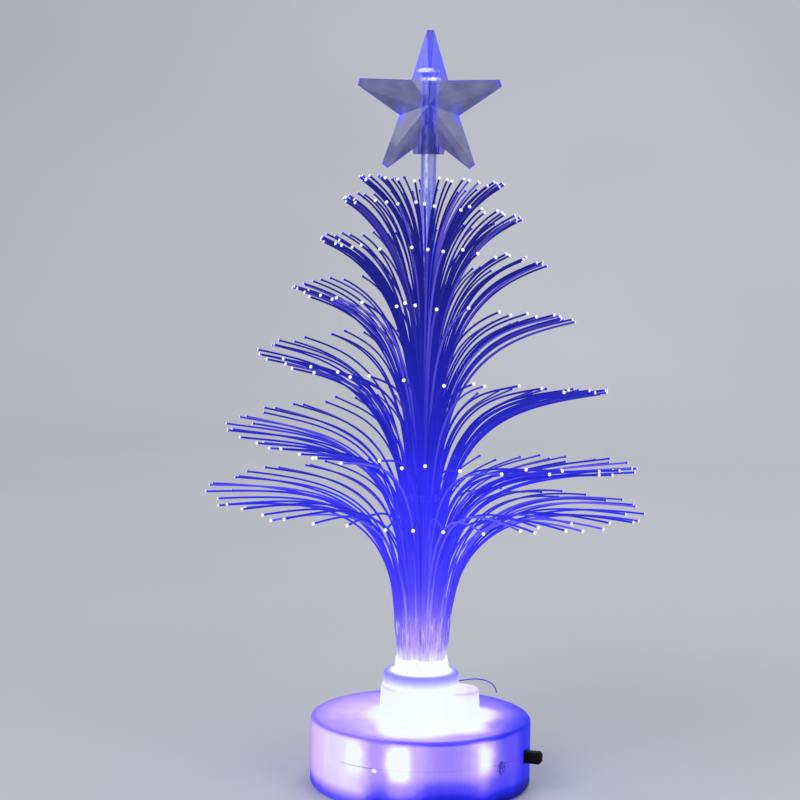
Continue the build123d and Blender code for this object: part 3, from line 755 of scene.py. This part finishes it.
def rod_material():
    """Clear rod: blue light low down, thinning out as it climbs, with a painted highlight on its front, a
    bright flecked line.
    """
    n = Nodes("clear_rod")
    x, y, z = n.place()
    tint = n.cloudy_ramp((900.0, 900.0, 50.0), 3.0, linear(130, 136, 214), linear(196, 200, 240), 0.2)
    n.link(tint, n.shader.inputs["Base Color"])
    light = n.ramp(n.steps(z, 110 * mm, 160 * mm), rod_stops)
    patchy = n.steps(n.noise((1400.0, 1400.0, 420.0), 4.0, 0.7), 0.40, 0.62)
    # A painted highlight down the rod's front, broken into flecks
    rod_highlight = n.product(n.bump_of(x, -0.5 * mm, 0.7 * mm, 0.8), n.steps(y, 0.0, -0.8 * mm), patchy)
    n.give_off(n.mix(rod_highlight, light, linear(214, 212, 206)), 0.8)
    n.set(Roughness=0.05, IOR=1.49, Transmission_Weight=0.85)
    return n.material


def plain_material(name, dark, light, roughness, metallic=0.0, gloss=0.3):
    """A plain finish with cloudy variation and a fine grain."""
    n = Nodes(name)
    n.link(n.cloudy_ramp(300.0, 4.0, dark, light, 0.2), n.shader.inputs["Base Color"])
    rough = n.steps(n.noise(900.0), 0.3, 0.7, roughness * 0.8, roughness * 1.2)
    n.link(rough, n.shader.inputs["Roughness"])
    n.set(Metallic=metallic, Specular_IOR_Level=gloss)
    n.relief(n.noise(1800.0, 4.0), 0.03 * mm, 0.6)
    return n.material


# How the edges of CAD nodes are softened where asked
weld_distance = 0.002 * mm
bevel_segments = 3
bevel_least_angle = 28


def dress(node, material, bevel=0.0):
    """Give a CAD node its material and, where asked, softened edges."""
    piece = nodes[node]
    piece.data.materials.clear()
    piece.data.materials.append(material)
    if bevel:
        weld = piece.modifiers.new("weld", "WELD")
        weld.merge_threshold = weld_distance
        soften = piece.modifiers.new("soften", "BEVEL")
        soften.width = bevel
        soften.segments = bevel_segments
        soften.limit_method = "ANGLE"
        soften.angle_limit = math.radians(bevel_least_angle)
        soften.harden_normals = True


# Pieces drawn here


def add_mesh(name, points, faces, material, attributes=None):
    """A smooth mesh object at the origin from arrays of points and faces."""
    mesh = bpy.data.meshes.new(name)
    mesh.from_pydata(points, [], faces)
    mesh.materials.append(material)
    mesh.polygons.foreach_set("use_smooth", np.ones(len(mesh.polygons), bool))
    for key, values in (attributes or {}).items():
        layer = mesh.attributes.new(key, "FLOAT", "POINT")
        layer.data.foreach_set("value", np.asarray(values, np.float32))
    mesh.update()
    piece = bpy.data.objects.new(name, mesh)
    bpy.context.scene.collection.objects.link(piece)
    return piece


def tube_mesh(paths, radii, sides, across):
    """Points and faces of round tubes along many paths at once.

    paths is strands by stations by 3 and radii is strands by stations. Each ring is
    path + radius * (cos * beside + sin * up), where up is square to the path and to across, and beside to
    both up and the path.
    """
    strands, stations = paths.shape[:2]
    along = np.gradient(paths, axis=1)
    along /= np.linalg.norm(along, axis=2, keepdims=True) + 1e-12
    up = np.cross(across, along)
    up /= np.linalg.norm(up, axis=2, keepdims=True) + 1e-12
    beside = np.cross(along, up)
    angles = np.linspace(0, 2 * math.pi, sides, endpoint=False)
    ring = beside[:, :, None, :] * np.cos(angles)[None, None, :, None]
    ring = ring + up[:, :, None, :] * np.sin(angles)[None, None, :, None]
    points = paths[:, :, None, :] + ring * radii[:, :, None, None]
    index = np.arange(strands * stations * sides).reshape(strands, stations, sides)
    near = index[:, :-1, :]
    far = index[:, 1:, :]
    quads = np.stack([near, np.roll(near, -1, axis=2), np.roll(far, -1, axis=2), far], axis=-1)
    faces = quads.reshape(-1, 4).tolist()
    faces += index[:, 0, ::-1].tolist()
    faces += index[:, -1, :].tolist()
    return points.reshape(-1, 3), faces


# The sheaf: the rings that hold the fibres, as in the frame
tier_count = 7
fibre_radius = 0.235 * mm
ring_pitch = 0.54 * mm
ring_slice = 0.49 * mm
first_ring = rod_radius + 0.05 * mm
strand_pitch = 0.52 * mm
most_strands = 56

# More fibres between those of the frame, by tier
more_strands = (0, 0, 0, 3, 9, 13, 12)

# The tips, and the heights where the fibres leave the sheaf. Shares and slopes are for each turn's start.
skirt_reach = 50.2 * mm
skirt_height = 57.7 * mm
crown_height = 138.5 * mm
lowest_leave = 31.0 * mm
leave_range = 76.0 * mm
leave_spread_share = 0.092
reach_shares = (1.0, 0.985, 0.865, 0.715, 0.56, 0.445, 0.345, 0.29)
tip_shares = (0.05, 0.145, 0.355, 0.565, 0.73, 0.855, 0.965, 1.0)
leave_shares = (0.0, 0.15, 0.28, 0.49, 0.63, 0.8, 1.0)
rise_shares = (0.97, 0.93, 0.88, 0.82, 0.76, 0.7, 0.64, 0.6)
run_shares = (0.6, 0.58, 0.54, 0.5, 0.47, 0.44, 0.42, 0.4)
tip_slopes = (-9.0, 3.0, 9.0, 12.0, 18.0, 25.0, 31.0, 36.0)

# Scatter, from fixed shares of a fibre's number
golden_share = 0.618034
silver_share = 0.414214
tip_scatter = 0.6 * mm
reach_scatter_share = 0.03
straggler_share = 0.13
straggler_power = 6
sway_share = 0.08
bunch_shares = (0.3, 0.8)
bunch_rates = (0.23, 0.07)
lean_share = 0.035

# How far a tier's fibres drift outwards on their way up, at most, and the drift's form
flare_widths = (1.15, 0.55, 0.25, 0.0, 0.0, 0.0, 0.0)
flare_least_share = 0.25
flare_corner_share = 1.2
flare_power = 1.4
fibre_foot = collar_top + 0.5 * mm
first_seed = 40

# Stations on a fibre, and sides of its tube
straight_stations = 5
arch_stations = 26
tube_sides = 7

# The lit end of a fibre: distances past the arch's end in mm, radii, and how far each ring is lit
bead_steps = (0.00, 0.16, 0.34, 0.50, 0.60, 0.64)
bead_widths = (1.0, 1.35, 1.7, 1.65, 1.1, 0.04)
bead_light = (0.1, 0.3, 0.5, 1.0, 1.0, 1.0)


def table_at(shares, turn):
    """Values of an evenly spaced table at many turns."""
    return np.interp(turn, np.arange(len(shares)), shares)


def strand_places(tier):
    """One tier's ring radius, count in the frame, and fibre numbers; halves lie between the frame's."""
    middle = first_ring + (tier_count - 1 - tier) * ring_pitch + ring_slice / 2
    count = min(int(2 * math.pi * middle / strand_pitch), most_strands)
    index = np.arange(count, dtype=float)
    more = more_strands[tier]
    if more:
        index = np.concatenate([index, np.floor((np.arange(more) + 0.5) * count / more) + 0.5])
    return middle, count, index


def fibre_paths(tier):
    """Paths of one tier's fibres.

    Each rises in its ring, the outer ones drifting outwards by a flare that grows with the height to the
    power 1.4, and then follows a cubic arch to its tip in an upright plane of its own. Tips lie on a helix
    of seven turns and draw together in fours and fives.
    """
    draw = np.random.default_rng(first_seed + tier)
    middle, count, index = strand_places(tier)
    turn = tier + (index + 0.5) / count
    scatter = ((index + 1) * golden_share + tier * golden_share**2) % 1
    other_scatter = 2 * (((index + 1) * silver_share + tier * golden_share**2) % 1) - 1
    shorter = reach_scatter_share * scatter + straggler_share * scatter**straggler_power
    reach = skirt_reach * table_at(reach_shares, turn) * (1 - shorter)
    tip = skirt_height + (crown_height - skirt_height) * table_at(tip_shares, turn)
    tip = tip + tip_scatter * other_scatter
    shift = np.zeros_like(turn)
    for share, rate in zip(bunch_shares, bunch_rates):
        shift += share / count * np.sin(2 * math.pi * rate * index + tier)
    tip_turn = turn + shift * np.sin(math.pi * (turn - tier))
    root_way = np.radians(90 - 360 * turn)
    tip_way = np.radians(90 - 360 * tip_turn)
    root = middle * np.stack([np.cos(root_way), np.sin(root_way)], 1)
    end = reach[:, None] * np.stack([np.cos(tip_way), np.sin(tip_way)], 1)
    length = np.hypot(*(end - root).T)
    way = (end - root) / length[:, None]

    # The arch: corners of a cubic, as distances along the way out and heights
    leave = lowest_leave + leave_range * (np.array(leave_shares)[tier] + leave_spread_share * (turn - tier))
    slope = np.radians(table_at(tip_slopes, turn))
    rise = (tip - leave) * table_at(rise_shares, turn) * (1 + sway_share * other_scatter)
    run = length * table_at(run_shares, turn)
    spread = flare_least_share + (1 - flare_least_share) * draw.uniform(0.0, 1.0, len(index))
    flare = flare_widths[tier] * mm * spread
    after_leave = flare * flare_corner_share + rise * lean_share
    corner_r = np.stack([flare, after_leave, length - run * np.cos(slope), length], 1)
    corner_z = np.stack([leave, leave + rise, tip - run * np.sin(slope), tip], 1)
    s = np.linspace(0.0, 1.0, arch_stations)
    weights = np.stack([(1 - s) ** 3, 3 * s * (1 - s) ** 2, 3 * s * s * (1 - s), s**3])
    arch_r = corner_r @ weights
    arch_z = corner_z @ weights

    # The straight part below it, and the lit end straight on past it
    up = np.linspace(0.0, 1.0, straight_stations, endpoint=False)
    straight_r = flare[:, None] * up**flare_power
    straight_z = fibre_foot + (leave[:, None] - fibre_foot) * up
    end_r = arch_r[:, -1:] - arch_r[:, -2:-1]
    end_z = arch_z[:, -1:] - arch_z[:, -2:-1]
    step = np.hypot(end_r, end_z)
    past = np.array(bead_steps[1:]) * mm
    r = np.concatenate([straight_r, arch_r, arch_r[:, -1:] + end_r / step * past], 1)
    z = np.concatenate([straight_z, arch_z, arch_z[:, -1:] + end_z / step * past], 1)
    plan = root[:, None, :] + r[:, :, None] * way[:, None, :]
    paths = np.concatenate([plan, z[:, :, None]], 2)
    across = np.stack([-way[:, 1], way[:, 0], np.zeros_like(length)], 1)
    across = np.repeat(across[:, None, :], r.shape[1], 1)
    radii = np.full(r.shape, fibre_radius)
    radii[:, -len(bead_steps):] = fibre_radius * np.array(bead_widths)

    # What the material reads
    lit = np.zeros(r.shape)
    lit[:, -len(bead_steps):] = bead_light
    sweep = np.concatenate([np.zeros(straight_stations), s, np.ones(len(bead_steps) - 1)])
    along = np.repeat(sweep[None, :], len(index), 0)
    vein = np.repeat(draw.uniform(0.0, 1.0, len(index))[:, None], r.shape[1], 1)
    return paths, radii, across, along, lit, vein


def make_fibres(material):
    """One piece for each tier of fibres, in place of the frame's plain strands."""
    for tier in range(tier_count):
        paths, radii, across, along, lit, vein = fibre_paths(tier)
        points, faces = tube_mesh(paths, radii, tube_sides, across)
        spread = {"along": along, "tip": lit, "vein": vein}
        attributes = {key: np.repeat(values.ravel(), tube_sides) for key, values in spread.items()}
        name = f"fibre_tier_{tier + 1}"
        piece = add_mesh(f"lit_fibres_{tier + 1}", points, faces, material, attributes)
        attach(piece, "base")
        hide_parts(name)


# The glue: its skin over the outermost ring, what its shoulder adds to that, and its wall
glue_skin = 0.34 * mm
glue_shoulder = 0.25 * mm
glue_wall = 0.9 * mm

# Heights of its profile: the foot over its bottom, then those over the collar's top, and the rings from the
# cone's start to its top. The inner edge closes a little higher.
glue_foot = 2.0 * mm
lip_heights = (-0.2 * mm, 0.3 * mm)
shoulder_height = 0.9 * mm
cone_start = 1.4 * mm
cone_rings = 7
closing_rise = 0.05 * mm

# Its lumps: each is (share of the depth, waves round, start), and they swell from this share of the rise
glue_segments = 96
glue_lumps = ((0.5, 3, 0.7), (0.3, 7, 2.0), (0.2, 13, 0.0))
lump_depth = 0.16 * mm
lump_height = 0.3 * mm
swell_start = 0.15


def make_glue(material):
    """Glue drawn up round the sheaf: a turned cone whose skin swells and sinks in soft lumps.

    r = width + lump_depth * lump * sin(pi * (rise + swell_start)) and
    z = height + lump_height * (lump - 1) * rise, where lump is a sum of three sines round the axis and rise
    runs from 0 at the collar's top to 1 at the glue's.
    """
    low, high = glue_box
    top = high.z
    shoulder = collar_top + shoulder_height
    lip = [collar_top + height for height in lip_heights]
    cone = np.linspace(collar_top + cone_start, top, cone_rings)
    heights = np.concatenate([[low.z, low.z + glue_foot], lip, [shoulder], cone])
    neck = first_ring + tier_count * ring_pitch + glue_skin
    profile = [high.x, high.x, neck + glue_shoulder, neck]
    widths = np.interp(heights, [low.z, collar_top, shoulder, top], profile)
    angle = np.linspace(0, 2 * math.pi, glue_segments, endpoint=False)
    lump = sum(share * np.sin(waves * angle + start) for share, waves, start in glue_lumps)
    rise = np.clip((heights - collar_top) / (top - collar_top), 0, 1)
    swell = np.sin(math.pi * np.clip(rise + swell_start, 0, 1))
    r = widths[:, None] + lump_depth * lump[None, :] * swell[:, None]
    z = heights[:, None] + lump_height * (lump[None, :] - 1) * rise[:, None]
    r = np.vstack([r, np.full((2, glue_segments), neck - glue_wall)])
    z = np.vstack([z, z[-1:, :] + closing_rise, np.full((1, glue_segments), low.z)])
    points = np.stack([r * np.cos(angle), r * np.sin(angle), z], 2)
    index = np.arange(r.size).reshape(r.shape)
    far = np.roll(index, -1, axis=0)
    quads = np.stack([index, np.roll(index, -1, 1), np.roll(far, -1, 1), far], -1)
    piece = add_mesh("glue_cone", points.reshape(-1, 3), quads.reshape(-1, 4).tolist(), material)
    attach(piece, "base")
    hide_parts("glue_plug")


# The stray fibre: its way out from the x axis, start and reach, height and drop, and its bow in shares
stray_way = math.radians(9.0)
stray_start = 8.4 * mm
stray_reach = 9.3 * mm
stray_height = boss_top + 0.2 * mm
stray_drop = 2.9 * mm
stray_radius = 0.14 * mm
stray_out_shares = (0.0, 0.25, 0.5, 0.72, 0.88, 0.97, 1.0)
stray_drop_shares = (0.0, -0.13, -0.17, -0.04, 0.24, 0.58, 1.0)
stray_stations = 34
stray_sides = 8
stray_smoothings = 6


def make_stray(material):
    """The stray fibre: out from under the collar, over in a low bow and down.

    Distances out and heights are tables in shares, read at even steps and then averaged with their
    neighbours several times, which rounds their corners.
    """
    fine = np.linspace(0, 1, stray_stations)
    knots = np.linspace(0, 1, len(stray_out_shares))
    r = stray_start + stray_reach * np.interp(fine, knots, stray_out_shares)
    z = stray_height - stray_drop * np.interp(fine, knots, stray_drop_shares)
    for _ in range(stray_smoothings):
        for values in (r, z):
            values[1:-1] = (values[:-2] + 2 * values[1:-1] + values[2:]) / 4
    cos, sin = math.cos(stray_way), math.sin(stray_way)
    path = np.stack([r * cos, r * sin, z], 1)[None]
    across = np.broadcast_to(np.array([-sin, cos, 0.0]), path.shape)
    radii = np.full(path.shape[:2], stray_radius)
    points, faces = tube_mesh(path, radii, stray_sides, across)
    piece = add_mesh("stray_fibre_line", points, faces, material)
    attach(piece, "base")
    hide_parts("stray_fibre")


# Studio: the floor's half width, its height, its front and back ends, and the bend up into the backdrop
floor_half_width = 5.0
floor_height = -0.05 * mm
floor_front = -6.0
floor_back = 1.2
floor_bend = 0.5
floor_bend_steps = 16
backdrop_height = 2.0
side_fade = (0.6, 2.4)
front_fade = (-0.5, -2.4)

# Lamps: name, place and power; all are square and aimed at the tree's middle
lamps = (
    ("soft_key", (-0.6, -0.8, 0.9), 7.0),
    ("soft_fill", (0.8, -0.7, 0.5), 3.5),
    ("soft_back", (0.2, 0.9, 0.9), 4.0),
)
lamp_size = 0.8
lamp_aim = (0, 0, 0.08)
world_colour = (0.9, 0.92, 1.0, 1.0)
world_strength = 0.55


def floor_material():
    """Pale matt paper; far off to the front and sides it grows paler."""
    n = Nodes("pale_floor")
    x, y, _ = n.place()
    cloud = n.cloudy_ramp(3.0, 2.0, (0.50, 0.51, 0.54, 1.0), (0.54, 0.55, 0.58, 1.0), 0.15)
    far = n.larger(n.steps(n.math("ABSOLUTE", x), *side_fade), n.steps(y, *front_fade))
    n.link(n.mix(far, cloud, (0.97, 0.97, 0.99, 1.0)), n.shader.inputs["Base Color"])
    n.set(Roughness=0.7)
    return n.material


def make_floor():
    """A pale floor that curves up into a backdrop: one profile of y and z, drawn out along x."""
    arc = np.linspace(0, math.pi / 2, floor_bend_steps)
    y = np.concatenate([[floor_front], floor_back - floor_bend + floor_bend * np.sin(arc), [floor_back]])
    z = np.concatenate([[0.0], floor_bend - floor_bend * np.cos(arc), [backdrop_height]]) + floor_height
    x = np.tile([-floor_half_width, floor_half_width], len(y))
    points = np.column_stack([x, np.repeat(y, 2), np.repeat(z, 2)])
    strips = 2 * np.arange(len(y) - 1)[:, None] + np.array([0, 1, 3, 2])
    floor = add_mesh("studio_floor", points, strips.tolist(), floor_material())


def make_light():
    """Plain soft studio light: an even world and three large lamps, which clear pieces don't show."""
    world = bpy.data.worlds.new("studio_world")
    world.use_nodes = True
    background = world.node_tree.nodes["Background"]
    background.inputs[0].default_value = world_colour
    background.inputs[1].default_value = world_strength
    bpy.context.scene.world = world
    for name, place, power in lamps:
        data = bpy.data.lights.new(name, "AREA")
        data.size = lamp_size
        data.energy = power
        lamp = bpy.data.objects.new(name, data)
        lamp.visible_transmission = False
        bpy.context.scene.collection.objects.link(lamp)
        way = Vector(lamp_aim) - Vector(place)
        lamp.matrix_world = Matrix.Translation(place) @ way.to_track_quat("-Z", "Y").to_matrix().to_4x4()


clear_scene()
bpy.context.scene.view_settings.view_transform = "Standard"
place_camera()

shell = shell_material()
steel = plain_material("plated_steel", linear(150, 150, 152), linear(190, 190, 192), 0.3, metallic=1.0)
tinned = plain_material("tinned_strip", linear(176, 176, 172), linear(206, 206, 200), 0.35, metallic=1.0)
laminate = plain_material("brown_laminate", linear(120, 86, 40), linear(160, 118, 62), 0.55)
knob = plain_material("black_knob", linear(2, 2, 3), linear(8, 8, 10), 0.55, gloss=0.1)
lacquer = plain_material("resistor_lacquer", linear(170, 140, 96), linear(200, 172, 126), 0.4)
red = plain_material("red_insulation", linear(150, 14, 12), linear(190, 26, 20), 0.45)
white = plain_material("white_insulation", linear(196, 196, 190), linear(226, 226, 220), 0.45)
black = plain_material("black_insulation", linear(9, 9, 12), linear(24, 24, 26), 0.45)

# Materials and the nodes that wear them
finishes = [
    (shell, ("battery_door", "upper_shell", "lower_shell")),
    (collar_material(), ("ferrule_collar",)),
    (rod_material(), ("light_rod",)),
    (clear_material("clear_star", True), ("star",)),
    (clear_material("clear_lamp", False), ("led_lens",)),
    (tie_material(), ("bundle_tie",)),
    (knob, ("switch_knob",)),
    (steel, ("door_screw", "shell_screws", "button_cell_1", "button_cell_2", "button_cell_3")),
    (tinned, ("switch_frame", "switch_pins", "contact_plate", "contact_spring", "led_leads")),
    (laminate, ("circuit_board", "switch_base")),
    (lacquer, ("led_resistor",)),
    (red, ("wire_plus",)),
    (white, ("wire_switch",)),
    (black, ("wire_minus",)),
]
bevels = {"battery_door": 0.15 * mm, "star": 0.22 * mm, "switch_knob": 0.18 * mm}
for material, names in finishes:
    for node in names:
        dress(node, material, bevels.get(node, 0.0))

make_fibres(fibre_material())
make_glue(glue_material())
make_stray(stray_material())
make_floor()
make_light()
